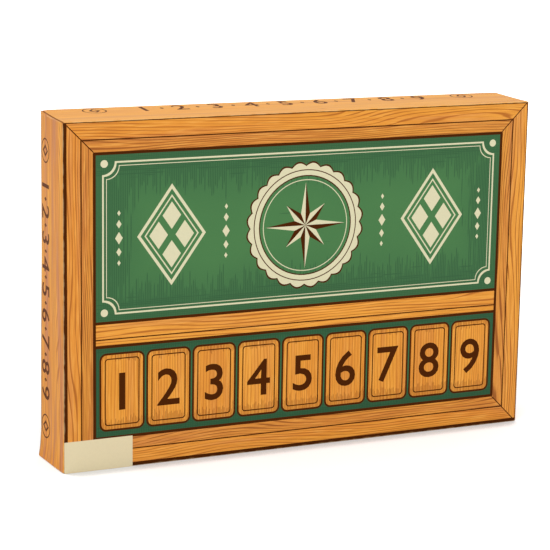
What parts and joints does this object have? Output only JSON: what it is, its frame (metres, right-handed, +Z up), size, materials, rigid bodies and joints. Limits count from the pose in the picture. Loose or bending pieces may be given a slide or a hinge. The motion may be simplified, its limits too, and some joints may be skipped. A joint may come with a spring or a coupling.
{
  "type": "shut the box game",
  "caption": "Boxed shut-the-box game: lift-off board carton, wooden tray with felt, flip tiles on a rod, two dice and a folded rules sheet.",
  "frame": {"origin": "middle of the carton's footprint as it stands on its long narrow side", "axes": "+X along the carton's long side, to the right seen from its front; -Y out of the printed front; +Z up"},
  "size_m": [0.355, 0.047, 0.24],
  "materials": {
    "printed_board": "folded board with a printed wood grain and green panel, light aqueous varnish",
    "base_print": "folded board with a printed wood grain, uncoated inside",
    "rules_paper": "uncoated offset paper, folded",
    "plywood": "thin plywood, sanded, unfinished",
    "pine": "pine, satin varnish",
    "green_felt": "pressed wool felt",
    "steel_rod": "drawn steel rod",
    "spacer_wood": "turned wood, satin",
    "nail_steel": "plain steel nails",
    "tile_wood": "beech stained warm brown, numbers printed in dark ink",
    "die_ivory": "ivory plastic with black pips"
  },
  "bodies": {
    "base": {"base_board": "base_print"},
    "lid": {"lid_board": "printed_board"},
    "tray": {"tray_panel": "plywood", "tray_wall_top": "pine", "tray_wall_bottom": "pine", "tray_wall_left": "pine", "tray_wall_right": "pine", "divider_rail": "pine", "rest_ledge": "pine", "field_felt": "green_felt", "trench_felt": "green_felt", "tile_rod": "steel_rod", "rod_spacers": "spacer_wood", "panel_nails": "nail_steel"},
    "rules": {"rules_sheet": "rules_paper"},
    "tile_1": {"tile_1": "tile_wood"},
    "tile_2": {"tile_2": "tile_wood"},
    "tile_3": {"tile_3": "tile_wood"},
    "tile_4": {"tile_4": "tile_wood"},
    "tile_5": {"tile_5": "tile_wood"},
    "tile_6": {"tile_6": "tile_wood"},
    "tile_7": {"tile_7": "tile_wood"},
    "tile_8": {"tile_8": "tile_wood"},
    "tile_9": {"tile_9": "tile_wood"},
    "die_1": {"die_1": "die_ivory"},
    "die_2": {"die_2": "die_ivory"}
  },
  "joints": [
    {"name": "lid_slide", "type": "slide", "parent": "base", "child": "lid", "axis": [0, -1, 0], "range_m": [0, 0.15]},
    {"name": "tray_slide", "type": "slide", "parent": "base", "child": "tray", "axis": [0, -1, 0], "range_m": [0, 0.075]},
    {"name": "rules_slide", "type": "slide", "parent": "base", "child": "rules", "axis": [0, -1, 0], "range_m": [0, 0.0525]},
    {"name": "tile_1_flip", "type": "hinge", "parent": "tray", "child": "tile_1", "pos_m": [-0.14498, 0.01095, 0.19211], "axis": [-1, 0, 0], "range_deg": [0, 180]},
    {"name": "tile_2_flip", "type": "hinge", "parent": "tray", "child": "tile_2", "pos_m": [-0.10873, 0.01095, 0.19211], "axis": [-1, 0, 0], "range_deg": [0, 180]},
    {"name": "tile_3_flip", "type": "hinge", "parent": "tray", "child": "tile_3", "pos_m": [-0.07249, 0.01095, 0.19211], "axis": [-1, 0, 0], "range_deg": [0, 180]},
    {"name": "tile_4_flip", "type": "hinge", "parent": "tray", "child": "tile_4", "pos_m": [-0.03624, 0.01095, 0.19211], "axis": [-1, 0, 0], "range_deg": [0, 180]},
    {"name": "tile_5_flip", "type": "hinge", "parent": "tray", "child": "tile_5", "pos_m": [0, 0.01095, 0.19211], "axis": [-1, 0, 0], "range_deg": [0, 180]},
    {"name": "tile_6_flip", "type": "hinge", "parent": "tray", "child": "tile_6", "pos_m": [0.03624, 0.01095, 0.19211], "axis": [-1, 0, 0], "range_deg": [0, 180]},
    {"name": "tile_7_flip", "type": "hinge", "parent": "tray", "child": "tile_7", "pos_m": [0.07249, 0.01095, 0.19211], "axis": [-1, 0, 0], "range_deg": [0, 180]},
    {"name": "tile_8_flip", "type": "hinge", "parent": "tray", "child": "tile_8", "pos_m": [0.10873, 0.01095, 0.19211], "axis": [-1, 0, 0], "range_deg": [0, 180]},
    {"name": "tile_9_flip", "type": "hinge", "parent": "tray", "child": "tile_9", "pos_m": [0.14498, 0.01095, 0.19211], "axis": [-1, 0, 0], "range_deg": [0, 180]},
    {"name": "die_1_slide", "type": "slide", "parent": "tray", "child": "die_1", "axis": [1, 0, 0], "range_m": [-0.08, 0.055]},
    {"name": "die_2_slide", "type": "slide", "parent": "tray", "child": "die_2", "axis": [1, 0, 0], "range_m": [-0.045, 0.094]}
  ],
  "couplings": [
    {"joint": "tray_slide", "follows": "lid_slide", "ratio": 0.5},
    {"joint": "rules_slide", "follows": "lid_slide", "ratio": 0.35}
  ]
}
